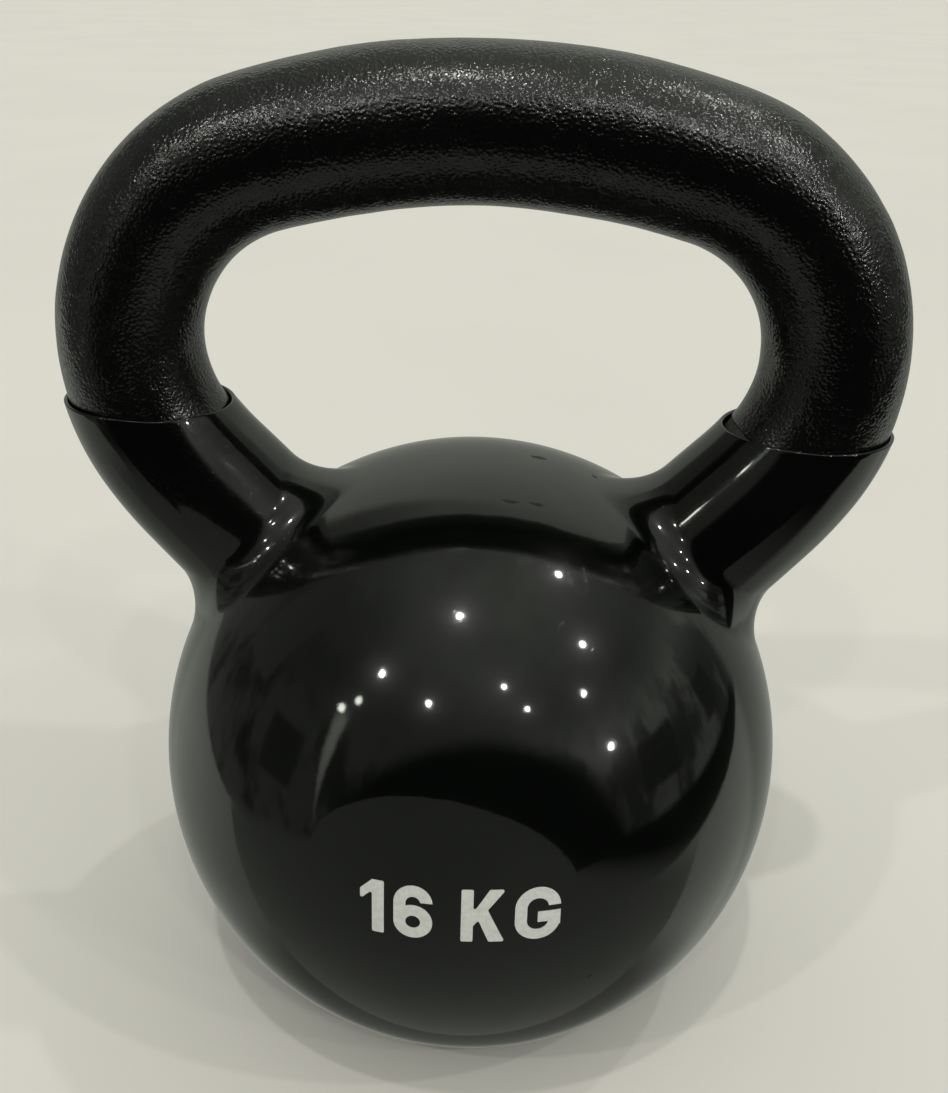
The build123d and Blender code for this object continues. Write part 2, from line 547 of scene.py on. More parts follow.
@dataclass(frozen=True)
class PebbledRelief:
    """Rounded close-packed grains with finer noise over them: Voronoi distance turned upside down.

    Each share is a multiple of the grains' own scale.
    """

    warp_share: float = 0.6
    merging: float = 0.6
    dome: Fade = (0.1, 0.75, 1.0, 0.0)
    fine_share: float = 2.7
    patch_share: float = 0.22
    patch_height: Fade = (0.3, 0.7, 0.45, 1.15)

    def lay(self, desk: Desk, given: dict, result: dict) -> None:
        """Lay out the group's nodes.

        Args:
            desk: The group's desk.
            given: Its inputs by name.
            result: Its outputs by name.
        """
        where, scale = given["Vector"], given["Scale"]
        warp = desk.jitter(where, desk.times(scale, self.warp_share))
        shift = desk.vector("MULTIPLY", warp, desk.math("DIVIDE", given["Warp"], scale))
        cells = desk.node("TexVoronoi", feature="SMOOTH_F1")
        values = {"Vector": desk.vector("ADD", where, shift), "Scale": scale, "Smoothness": self.merging}
        grain = desk.ramp(desk.feed_all(cells, values).outputs["Distance"], *self.dome)
        fine = desk.noise(where, desk.times(scale, self.fine_share), 2.0, 0.6)
        uneven = desk.noise(where, desk.times(scale, self.patch_share), 2.0)
        size = desk.ramp(uneven, *self.patch_height)
        desk.feed(result["Height"], desk.share(fine, given["Fine"], desk.times(grain, size)))
        desk.feed(result["Hollows"], desk.math("SUBTRACT", 1.0, grain, clamp=True))


@dataclass(frozen=True)
class HandlingMarks:
    """Marks of use: broad dull smears, sparse hairline scratches in drifting lines, and dust specks.

    Each share is a multiple of the smears' own scale.
    """

    smear: Fade = (0.42, 0.68, 0.0, 1.0)
    lean: Place = (0.5, 0.9, 0.3)
    stretch: Place = (1.0, 0.06, 1.0)
    line_share: float = 26.0
    hairline: Fade = (0.0, 0.006, 1.0, 0.0)
    patch_share: float = 1.7
    scratched: Fade = (0.5, 0.66, 0.0, 1.0)
    speck_share: float = 11.0
    dot: Fade = (0.02, 0.055, 1.0, 0.0)

    def lay(self, desk: Desk, given: dict, result: dict) -> None:
        """Lay out the group's nodes.

        Args:
            desk: The group's desk.
            given: Its inputs by name.
            result: Its outputs by name.
        """
        where, scale = given["Vector"], given["Scale"]
        desk.feed(result["Smears"], desk.ramp(desk.noise(where, scale, 4.0, 0.6), *self.smear))
        drawn = {"Vector": where, "Rotation": self.lean, "Scale": self.stretch}
        drawn_out = desk.feed_all(desk.node("Mapping"), drawn).outputs[0]
        lines = desk.noise(drawn_out, desk.times(scale, self.line_share), 1.0)
        patches = desk.noise(where, desk.times(scale, self.patch_share), 1.0)
        hair = desk.ramp(desk.math("ABSOLUTE", desk.math("SUBTRACT", lines, 0.5)), *self.hairline)
        desk.feed(result["Scratches"], desk.times(hair, desk.ramp(patches, *self.scratched)))
        specks = desk.node("TexVoronoi", feature="F1")
        desk.feed_all(specks, {"Vector": where, "Scale": desk.times(scale, self.speck_share)})
        pick = desk.node("SeparateColor")
        desk.feed(pick.inputs[0], specks.outputs["Color"])
        few = desk.math("GREATER_THAN", pick.outputs[0], desk.math("SUBTRACT", 1.0, given["Specks"]))
        desk.feed(result["Specks"], desk.times(desk.ramp(specks.outputs["Distance"], *self.dot), few))


PEBBLES = effect_group(
    "pebbled_relief", {"Scale": 1000.0, "Warp": 0.5, "Fine": 0.3}, ("Height", "Hollows"), PebbledRelief().lay
)
HANDLING = effect_group(
    "handling_marks", {"Scale": 12.0, "Specks": 0.1}, ("Smears", "Scratches", "Specks"), HandlingMarks().lay
)


@dataclass
class Finish:
    """A finish being laid out as a Principled material on the piece's own coordinates."""

    name: str
    material: bpy.types.Material = field(init=False)
    desk: Desk = field(init=False)

    def __post_init__(self) -> None:
        """Start the material with its shader, output and coordinates."""
        self.material = bpy.data.materials.new(self.name)
        self.material.use_nodes = True
        self.material.node_tree.nodes.clear()
        self.desk = Desk(self.material.node_tree)
        self.shader = self.desk.node("BsdfPrincipled")
        output = self.desk.node("OutputMaterial")
        self.desk.feed(output.inputs["Surface"], self.shader.outputs[0])
        self.where = self.desk.node("TexCoord").outputs["Object"]

    def put(self, socket: str, value: object) -> None:
        """Feed one of the shader's sockets by its name."""
        self.desk.feed(self.shader.inputs[socket], value)

    def effect(self, group: bpy.types.NodeTree, **numbers: float) -> dict[str, Socket]:
        """Place a shared effect on the piece's coordinates.

        Args:
            group: The effect.
            numbers: Its number inputs.

        Returns:
            Its outputs by name.
        """
        placed = self.desk.node("Group", node_tree=group)
        self.desk.feed_all(placed, {"Vector": self.where, **numbers})
        return {socket.name: socket for socket in placed.outputs}


@dataclass(frozen=True)
class Nick:
    """A small scrape in the vinyl: its middle, its half length along X, Y and Z, in metres."""

    middle: Place
    half: Place
    edge: Fade = (0.6, 1.0, 1.0, 0.0)

    def mask(self, desk: Desk, where: Socket) -> Socket:
        """Mask the scrape as an ellipsoid.

        Args:
            desk: The material's desk.
            where: The place's socket, made uneven beforehand.

        Returns:
            The mask, 1 inside.
        """
        scaled = desk.vector("DIVIDE", desk.vector("SUBTRACT", where, self.middle), self.half)
        return desk.ramp(desk.vector("LENGTH", scaled), *self.edge)


@dataclass(frozen=True)
class DippedVinyl:
    """Glossy black PVC: a wet-looking skin under a thin soft bloom, with smears, scratches and dust."""

    deep: Colour = (0.0004, 0.0010, 0.0006, 1.0)
    dusty: Colour = (0.030, 0.031, 0.028, 1.0)
    marks_per_metre: float = 14.0
    speck_share: float = 0.05
    smear_dust: float = 0.025
    speck_dust: float = 0.5
    clear_roughness: float = 0.045
    dulled: float = 0.085
    scratch_dulling: float = 0.08
    speck_dulling: float = 0.35
    scrape_dulling: float = 0.5
    bloom: float = 0.15
    smear_bloom: float = 0.10
    bloom_roughness: float = 0.25
    swells_per_metre: float = 70.0
    swell_depth: float = 0.00006
    peel_per_metre: float = 420.0
    peel_depth: float = 0.000008
    scratch_depth: float = 0.000006
    nick_depth: float = 0.00012
    rags_per_metre: float = 1400.0
    rag_reach: float = 0.0006
    nicks: tuple[Nick, ...] = (
        Nick((0.0080, -0.0205, 0.1393), (0.0024, 0.0008, 0.0020)),
        Nick((0.0142, -0.0200, 0.1390), (0.0022, 0.0007, 0.0020)),
        Nick((0.0150, 0.0045, 0.1411), (0.0026, 0.0013, 0.0020)),
        Nick((0.0290, 0.0030, 0.1370), (0.0010, 0.0010, 0.0020)),
        Nick((0.0294, -0.0727, 0.0470), (0.0006, 0.0010, 0.0006)),
    )

    def scrapes(self, finish: Finish) -> Socket:
        """Gather the nicks into one mask, on a place shaken a little so that their edges are ragged.

        Args:
            finish: The vinyl's finish.

        Returns:
            The mask, 1 in a nick.
        """
        desk = finish.desk
        reach = self.rag_reach
        shake = desk.jitter(finish.where, self.rags_per_metre)
        shift = desk.vector("MULTIPLY_ADD", shake, (2.0 * reach,) * 3, (-reach,) * 3)
        ragged = desk.vector("ADD", finish.where, shift)
        found = 0.0
        for nick in self.nicks:
            found = desk.math("MAXIMUM", nick.mask(desk, ragged), found)
        return found

    def make(self) -> bpy.types.Material:
        """Lay out the material.

        Returns:
            The material.
        """
        finish = Finish("dipped_black_vinyl")
        desk = finish.desk
        marks = finish.effect(HANDLING, Scale=self.marks_per_metre, Specks=self.speck_share)
        smears, scratches, specks = marks["Smears"], marks["Scratches"], marks["Specks"]
        scraped = self.scrapes(finish)
        tone = desk.blend(desk.times(smears, self.smear_dust), self.deep, self.dusty)
        finish.put("Base Color", desk.blend(desk.times(specks, self.speck_dust), tone, self.dusty))
        dull = desk.share(smears, self.dulled - self.clear_roughness, self.clear_roughness)
        dull = desk.share(scratches, self.scratch_dulling, dull)
        dull = desk.share(specks, self.speck_dulling, dull)
        finish.put("Roughness", desk.share(scraped, self.scrape_dulling, dull))
        bloom = desk.share(smears, self.smear_bloom, self.bloom)
        finish.put("Coat Weight", desk.times(bloom, desk.math("SUBTRACT", 1.0, scraped)))
        finish.put("Coat Roughness", self.bloom_roughness)
        normal = desk.bump(desk.noise(finish.where, self.swells_per_metre, 1.0), self.swell_depth)
        normal = desk.bump(desk.noise(finish.where, self.peel_per_metre, 2.0), self.peel_depth, normal)
        normal = desk.bump(scratches, -self.scratch_depth, normal)
        finish.put("Normal", desk.bump(scraped, -self.nick_depth, normal))
        return finish.material


@dataclass(frozen=True)
class PowderCoat:
    """Satin black powder coat with a pebbled grain, paler where hands have polished and dusted it."""

    deep: Colour = (0.0006, 0.0012, 0.0008, 1.0)
    worn: Colour = (0.010, 0.010, 0.009, 1.0)
    grain_per_metre: float = 1250.0
    grain_warp: float = 0.7
    grain_fine: float = 0.22
    grain_depth: float = 0.000090
    marks_per_metre: float = 18.0
    speck_share: float = 0.12
    smear_wear: float = 0.35
    speck_wear: float = 0.5
    peak_roughness: float = 0.13
    hollow_roughness: float = 0.21
    smear_dulling: float = 0.02
    shine: float = 0.68
    glint: Fade = (0.55, 0.95, 0.0, 0.35)
    glint_roughness: float = 0.14
    lumps_per_metre: float = 300.0
    lump_depth: float = 0.00010

    def make(self) -> bpy.types.Material:
        """Lay out the material.

        Returns:
            The material.
        """
        finish = Finish("textured_black_powder_coat")
        desk = finish.desk
        grain = finish.effect(PEBBLES, Scale=self.grain_per_metre, Warp=self.grain_warp, Fine=self.grain_fine)
        marks = finish.effect(HANDLING, Scale=self.marks_per_metre, Specks=self.speck_share)
        polished = desk.math("SUBTRACT", 1.0, grain["Hollows"])
        wear = desk.times(marks["Smears"], desk.times(polished, self.smear_wear))
        tone = desk.blend(wear, self.deep, self.worn)
        finish.put("Base Color", desk.blend(desk.times(marks["Specks"], self.speck_wear), tone, self.worn))
        span = self.hollow_roughness - self.peak_roughness
        rough = desk.share(grain["Hollows"], span, self.peak_roughness)
        finish.put("Roughness", desk.share(marks["Smears"], self.smear_dulling, rough))
        finish.put("Specular IOR Level", self.shine)
        finish.put("Coat Weight", desk.ramp(polished, *self.glint))
        finish.put("Coat Roughness", self.glint_roughness)
        lumps = desk.noise(finish.where, self.lumps_per_metre, 3.0, 0.55)
        finish.put("Normal", desk.bump(grain["Height"], self.grain_depth, desk.bump(lumps, self.lump_depth)))
        return finish.material


@dataclass(frozen=True)
class GreyIron:
    """Raw sand-cast iron, as it is under the coatings: dark grey, pebbled and patchy with oxide."""

    bare: Colour = (0.055, 0.055, 0.057, 1.0)
    oxide: Colour = (0.060, 0.035, 0.022, 1.0)
    grain_per_metre: float = 700.0
    grain_depth: float = 0.00015
    marks_per_metre: float = 20.0
    rusting: float = 0.5
    peak_roughness: float = 0.55
    hollow_dulling: float = 0.25
    metal: Fade = (0.2, 0.9, 0.85, 0.2)

    def make(self) -> bpy.types.Material:
        """Lay out the material.

        Returns:
            The material.
        """
        finish = Finish("sand_cast_grey_iron")
        desk = finish.desk
        grain = finish.effect(PEBBLES, Scale=self.grain_per_metre, Warp=1.0, Fine=0.5)
        patches = finish.effect(HANDLING, Scale=self.marks_per_metre, Specks=0.2)["Smears"]
        finish.put("Base Color", desk.blend(desk.times(patches, self.rusting), self.bare, self.oxide))
        finish.put("Roughness", desk.share(grain["Hollows"], self.hollow_dulling, self.peak_roughness))
        finish.put("Metallic", desk.ramp(patches, *self.metal))
        finish.put("Normal", desk.bump(grain["Height"], self.grain_depth))
        return finish.material


@dataclass(frozen=True)
class PadInk:
    """Off-white pad-printed ink: a chalky film, thin in places, with a few pinholes."""

    white: Colour = (0.61, 0.63, 0.60, 1.0)
    thin: Colour = (0.50, 0.52, 0.49, 1.0)
    pinhole: Colour = (0.08, 0.08, 0.08, 1.0)
    marks_per_metre: float = 60.0
    pinhole_share: float = 0.25
    pinhole_depth: float = 0.8
    film_per_metre: float = 900.0
    thinning: Fade = (0.35, 0.62, 0.75, 0.0)
    chalk: Fade = (0.3, 0.7, 0.62, 0.42)
    film_relief: float = 0.00003

    def make(self) -> bpy.types.Material:
        """Lay out the material.

        Returns:
            The material.
        """
        finish = Finish("white_pad_ink")
        desk = finish.desk
        specks = finish.effect(HANDLING, Scale=self.marks_per_metre, Specks=self.pinhole_share)["Specks"]
        film = desk.noise(finish.where, self.film_per_metre, 4.0, 0.65)
        tone = desk.blend(desk.ramp(film, *self.thinning), self.white, self.thin)
        finish.put("Base Color", desk.blend(desk.times(specks, self.pinhole_depth), tone, self.pinhole))
        finish.put("Roughness", desk.ramp(film, *self.chalk))
        finish.put("Normal", desk.bump(film, self.film_relief))
        return finish.material


@dataclass(frozen=True)
class PalePaper:
    """The pale sheet that the kettlebell stands on: warm white, faintly fibrous and mottled."""

    light: Colour = (0.83, 0.825, 0.75, 1.0)
    shade: Colour = (0.81, 0.803, 0.73, 1.0)
    mottles_per_metre: float = 3.0
    mottle: Fade = (0.35, 0.65, 0.0, 1.0)
    fibres_per_metre: float = 700.0
    nap: Fade = (0.3, 0.7, 0.75, 0.9)
    shine: float = 0.25
    fibre_relief: float = 0.00002

    def make(self) -> bpy.types.Material:
        """Lay out the material.

        Returns:
            The material.
        """
        finish = Finish("pale_paper")
        desk = finish.desk
        mottle = desk.ramp(desk.noise(finish.where, self.mottles_per_metre, 3.0), *self.mottle)
        fibre = desk.noise(finish.where, self.fibres_per_metre, 3.0, 0.6)
        finish.put("Base Color", desk.blend(mottle, self.light, self.shade))
        finish.put("Roughness", desk.ramp(fibre, *self.nap))
        finish.put("Specular IOR Level", self.shine)
        finish.put("Normal", desk.bump(fibre, self.fibre_relief))
        return finish.material


@dataclass(frozen=True)
class PaintedReflectionCard:
    """Painted reflection: an even grey that glows just enough to show in a mirror finish, standing in for
    shaded things in front.

    With a half width, it fades out towards both sides.
    """

    glow: float = 0.27
    dim_tint: Colour = (0.80, 0.84, 0.72, 1.0)
    flat: Colour = (1.0, 1.05, 0.92, 1.0)
    glow_mottles_per_metre: float = 6.0
    middle: float = 0.0
    half_width: float = 0.0
    clear_share: float = 0.6

    def make(self) -> bpy.types.Material:
        """Lay out the material.

        Returns:
            The material.
        """
        finish = Finish("grey_cloth")
        desk = finish.desk
        glow_mottle = desk.noise(finish.where, self.glow_mottles_per_metre, 3.0, 0.55)
        finish.put("Base Color", (0.0, 0.0, 0.0, 1.0))
        finish.put("Specular IOR Level", 0.0)
        # Painted reflection: the card glows a dim grey, its tint mottled by noise.
        finish.put("Emission Color", desk.blend(glow_mottle, self.dim_tint, self.flat))
        finish.put("Emission Strength", self.glow)
        if self.half_width > 0.0:
            place = desk.node("SeparateXYZ")
            desk.feed(place.inputs[0], finish.where)
            off = desk.math("ABSOLUTE", desk.math("SUBTRACT", place.outputs[0], self.middle))
            finish.put("Alpha", desk.ramp(off, self.clear_share * self.half_width, self.half_width, 1.0, 0.0))
        return finish.material


# ---------------------------------------------------------------------------------------------
# The kettlebell's own pieces


@dataclass
class IronCore:
    """The one-piece casting. It is the CAD node itself, hidden under the coatings, with an iron finish."""

    node: str = "iron_core"

    def dress(self) -> bpy.types.Object:
        """Give the casting its finish."""
        return dress_node(self.node, GreyIron().make())


@dataclass
class WeightMark:
    """The printed weight on the front of the ball, kept as the CAD film with an ink finish."""

    node: str = "weight_mark"

    def dress(self) -> bpy.types.Object:
        """Give the print its finish."""
        return dress_node(self.node, PadInk().make())


def dress_node(node: str, material: bpy.types.Material) -> bpy.types.Object:
    """Put one material on a CAD node.

    Args:
        node: The node's name.
        material: The finish.

    Returns:
        The node's object.
    """
    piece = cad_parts[node]
    for place in piece.material_slots:
        place.link = "OBJECT"
        place.material = material
    return piece


@dataclass
class HandleCoat:
    """The powder-coated skin of the handle, from under one lip of the jacket to under the other.

    The outer skin carries a circle along the centreline, uneven by the casting's ripples, which are
    eased so that they only stand outwards. The inner skin is plain, a film's thickness in, with fewer
    rings, and the two close at both ends.
    """

    line: HandleLine
    dip: DipLine
    film: float = 0.0002
    tuck: float = 0.009
    rings: int = 430
    inner_skip: int = 7
    around: int = 180
    casting: Ripples = Ripples(0.030, 0.00024, 11)
    sand: Ripples = Ripples(0.008, 0.00005, 12, 40)

    def reach(self) -> float:
        """Find the run at which the middle of the bar is tucked under the dip line.

        Returns:
            The run.
        """
        runs = np.linspace(self.line.joints()[0], self.line.joints()[2], 400)
        spot, _ = self.line.place(runs)
        return float(np.interp(-(self.dip.height - self.tuck), -spot[:, 1], runs))

    def build(self) -> bpy.types.Object:
        """Make the coat's mesh.

        Returns:
            The grip.
        """
        reach = self.reach()
        run = np.linspace(-reach, reach, self.rings)[:, None]
        turn = np.linspace(0.0, 2.0 * np.pi, self.around, endpoint=False)[None, :]
        side = np.where(run < 0.0, -1.0, 1.0)
        layer = (self.film,) * len(self.line.bar_radii)
        radius = self.line.bar_radius(np.abs(run), layer)
        skin_points = self.line.tube(np.abs(run), turn, radius, side)
        outward = self.line.tube(np.abs(run), turn, radius + 1.0, side) - skin_points
        relief = self.casting.at(skin_points) + self.sand.at(skin_points)
        relief = (relief + np.hypot(relief, self.film)) / 2.0
        outer = skin_points + relief[..., None] * outward
        picked = np.append(np.arange(0, self.rings - 1, self.inner_skip), self.rings - 1)
        inner = (skin_points - self.film * outward)[picked]
        grid = np.concatenate([outer, inner[::-1]])
        quads = wrapped_quads(len(grid), self.around)
        piece = skin("powder_coated_grip", grid.reshape(-1, 3), quads)
        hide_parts("handle_coat")
        return piece

    def dress(self, piece: bpy.types.Object) -> None:
        """Give the coat its finish and body.

        Args:
            piece: The grip.
        """
        piece.data.materials.append(PowderCoat().make())
        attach(piece, BODY)


@dataclass
class VinylJacket:
    """The dipped jacket: a sleeve of rings from one lip, down its horn, round the ball and up again.

    Every ring has the same number of points. Down a horn they follow the bar; from where the bar
    meets the ball they follow great circles to the middle plane. All are then drawn onto the
    rounded union of ball and bar, cut flat and rounded at the base. The union's rounding is full in
    the plane of the handle and tighter at the front and back of each horn.
    """

    line: HandleLine
    dip: DipLine
    ball_radius: float
    ball_height: float = 0.0625
    walls: tuple[float, ...] = (0.0014, 0.0014, 0.0014, 0.0020, 0.0021)
    root_round: float = 0.011
    front_round: float = 0.0068
    front_from: float = 0.004
    front_over: float = 0.013
    base_round: float = 0.0016
    ball_wall: float = 0.0030
    horn_wall: float = 0.0014
    lip_wall: float = 0.0010
    lip_round: float = 0.0004
    lip_fullness: float = 0.6
    lip_thickening: float = 0.012
    root_from: float = 0.001
    root_over: float = 0.008
    ring_crowding: float = 1.25
    around: int = 256
    horn_rings: int = 46
    ball_rings: int = 62
    lip_rings: int = 7
    inner_skip: int = 6
    hand_trim: Ripples = Ripples(0.016, 0.00016, 21)

    def centre(self) -> np.ndarray:
        """Give the ball's centre."""
        return np.array([0.0, 0.0, self.ball_height])

    def bar_outside(self, points: np.ndarray) -> np.ndarray:
        """Give the distance of points outside the jacket's bars: to the centreline, less the radius."""
        distance, run = self.line.nearest(points)
        return distance - self.line.bar_radius(run, self.walls)

    def outside(self, points: np.ndarray) -> np.ndarray:
        """Give how far points lie outside the jacket, near enough.

        Ball and bar are joined so that, within a rounding of both, the surface is a quarter circle
        of the two distances; the base's plane is cut off the same way, the other way about.

        Args:
            points: Places in space.

        Returns:
            Distances, negative inside.
        """
        ball = np.linalg.norm(points - self.centre(), axis=-1) - self.ball_radius
        bar = self.bar_outside(points)
        forward = smooth_step((np.abs(points[..., 1]) - self.front_from) / self.front_over)
        r = self.root_round + (self.front_round - self.root_round) * forward
        near = np.hypot(np.maximum(r - ball, 0.0), np.maximum(r - bar, 0.0))
        body = np.maximum(r, np.minimum(ball, bar)) - near
        below = -points[..., 2]
        r = self.base_round
        corner = np.hypot(np.maximum(r + body, 0.0), np.maximum(r + below, 0.0))
        return np.minimum(-r, np.maximum(body, below)) + corner

    def slope(self, points: np.ndarray, step: float = 1e-5) -> np.ndarray:
        """Find the outward direction at points, from differences along each axis, not made unit length.

        Args:
            points: Places in space.
            step: Half of each difference.

        Returns:
            The directions.
        """
        found = []
        for axis in np.eye(3) * step:
            found.append((self.outside(points + axis) - self.outside(points - axis)) / (2.0 * step))
        return np.stack(found, axis=-1)

    def draw_on(self, points: np.ndarray, rounds: int = 6) -> tuple[np.ndarray, np.ndarray]:
        """Move points along the slope until they lie on the jacket.

        Args:
            points: Places near it.
            rounds: How many times to correct them.

        Returns:
            The places on the jacket and the unit normals there.
        """
        for _ in range(rounds):
            slope = self.slope(points)
            stride = self.outside(points) / np.maximum((slope**2).sum(-1), 0.2)
            points = points - stride[..., None] * slope
        slope = self.slope(points)
        return points, slope / np.linalg.norm(slope, axis=-1, keepdims=True)

    def solve_run(self, test: Callable[[np.ndarray], np.ndarray], turn: np.ndarray) -> np.ndarray:
        """Halve the interval of runs until each line along the bar crosses a surface.

        Args:
            test: Given runs, is positive before the crossing.
            turn: The lines' angles round the bar.

        Returns:
            The run of each crossing.
        """
        joints = self.line.joints()
        low = np.full(turn.shape, joints[0])
        high = np.full(turn.shape, joints[3])
        for _ in range(40):
            middle = (low + high) / 2.0
            before = test(middle) > 0.0
            low = np.where(before, middle, low)
            high = np.where(before, high, middle)
        return (low + high) / 2.0

    def horn(self, side: Side, turn: np.ndarray) -> np.ndarray:
        """Lay rings down a horn from its lip to where the bar meets the ball.

        Args:
            side: Which horn.
            turn: Angles round the bar.

        Returns:
            Rings of places, the lip first.
        """
        sign = side.value

        def on_bar(run: np.ndarray) -> np.ndarray:
            """Place each run on the jacket's bar."""
            return self.line.tube(run, turn, self.line.bar_radius(run, self.walls), sign)

        def above_dip(run: np.ndarray) -> np.ndarray:
            """Give the height above the hand-trimmed dip line."""
            places = on_bar(run)
            return self.dip.above(places) - self.hand_trim.at(places)

        def off_ball(run: np.ndarray) -> np.ndarray:
            """Give the distance outside the ball."""
            return np.linalg.norm(on_bar(run) - self.centre(), axis=-1) - self.ball_radius

        lip = self.solve_run(above_dip, turn)
        meet = self.solve_run(off_ball, turn)
        share = np.linspace(0.0, 1.0, self.horn_rings)[:, None]
        return on_bar(lip[None, :] + share * (meet - lip)[None, :])

    def half_ball(self, root: np.ndarray, turn: np.ndarray) -> np.ndarray:
        """Lay rings over half the ball, along great circles from a horn's root to the middle plane.

        Args:
            root: Places where the bar meets the ball.
            turn: Their angles round the bar; the outside of the bend goes to the ball's underside.

        Returns:
            Rings of places, after the root, ending on the middle plane.
        """
        centre = self.centre()
        start = (root - centre) / np.linalg.norm(root - centre, axis=-1, keepdims=True)
        end = np.stack([np.zeros_like(turn), np.sin(turn), -np.cos(turn)], axis=-1)
        swing = np.arccos(np.clip((start * end).sum(-1), -1.0, 1.0))[None, :, None]
        share = np.linspace(0.0, 1.0, self.ball_rings + 1)[1:, None, None] ** self.ring_crowding
        rays = (np.sin((1.0 - share) * swing) * start + np.sin(share * swing) * end) / np.sin(swing)
        return centre + self.ball_radius * rays

    def lip(self, ring: np.ndarray, under: np.ndarray, normals: np.ndarray) -> np.ndarray:
        """Roll a rim over from the outer wall to the inner wall.

        Args:
            ring: The top ring of the outer wall.
            under: The ring below it.
            normals: Outward directions at the ring.

        Returns:
            Rings from the outer wall over the rim and a little way down the inside.
        """
        up = ring - under
        up /= np.linalg.norm(up, axis=-1, keepdims=True)
        angle = np.linspace(0.0, np.pi, self.lip_rings)[:, None, None]
        across = np.sign(np.cos(angle)) * np.abs(np.cos(angle)) ** self.lip_fullness
        rise = np.abs(np.sin(angle)) ** self.lip_fullness
        middle = ring - self.lip_wall / 2.0 * normals
        return middle + across * self.lip_wall / 2.0 * normals + self.lip_round * rise * up

    def build(self) -> bpy.types.Object:
        """Make the jacket's mesh: the outer skin, a rolled rim at each mouth and the inner skin.

        Returns:
            The jacket.
        """
        turn = np.linspace(0.0, 2.0 * np.pi, self.around, endpoint=False)
        left = self.horn(Side.LEFT, turn)
        right = self.horn(Side.RIGHT, turn)
        left_ball = self.half_ball(left[-1], turn)
        right_ball = self.half_ball(right[-1], turn)
        rough = np.concatenate([left, left_ball, right_ball[-2::-1], right[::-1]])
        outer, normals = self.draw_on(rough)
        outer[0], outer[-1] = rough[0], rough[-1]
        thick = self.wall_at(outer)
        near_lip = np.array([0, 2, 5])
        between = np.arange(8, len(outer) - 8, self.inner_skip)
        picked = np.unique(np.concatenate([near_lip, between, len(outer) - 1 - near_lip]))
        inner = (outer - thick[..., None] * normals)[picked]
        left_lip = self.lip(outer[0], outer[1], normals[0])
        right_lip = self.lip(outer[-1], outer[-2], normals[-1])
        grid = np.concatenate([outer[1:-1], right_lip, inner[::-1][1:-1], left_lip[::-1]])
        shading = np.zeros_like(grid)
        shading[: len(outer) - 2] = normals[1:-1]
        quads = wrapped_quads(len(grid), self.around)
        piece = skin("dipped_vinyl_jacket", grid.reshape(-1, 3), quads, shading.reshape(-1, 3))
        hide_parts("vinyl_jacket")
        return piece

    def wall_at(self, points: np.ndarray) -> np.ndarray:
        """Thicken the wall from the thin lip, down the horn, to the full wall round the ball.

        Args:
            points: Places on the jacket's outer skin.

        Returns:
            The wall's thickness at each.
        """
        bar = np.abs(self.bar_outside(points))
        depth = -self.dip.above(points)
        on_horn = self.lip_wall + (self.horn_wall - self.lip_wall) * smooth_step(depth / self.lip_thickening)
        return on_horn + (self.ball_wall - on_horn) * smooth_step((bar - self.root_from) / self.root_over)

    def dress(self, piece: bpy.types.Object) -> None:
        """Give the jacket its finish and body.

        Args:
            piece: The jacket.
        """
        piece.data.materials.append(DippedVinyl().make())
        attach(piece, BODY)


# ---------------------------------------------------------------------------------------------
# The studio


@dataclass(frozen=True)
class Lamp:
    """A ceiling lamp, at (across, back) for a ceiling one unit up, with its share of the strength."""

    across: float
    back: float
    share: float


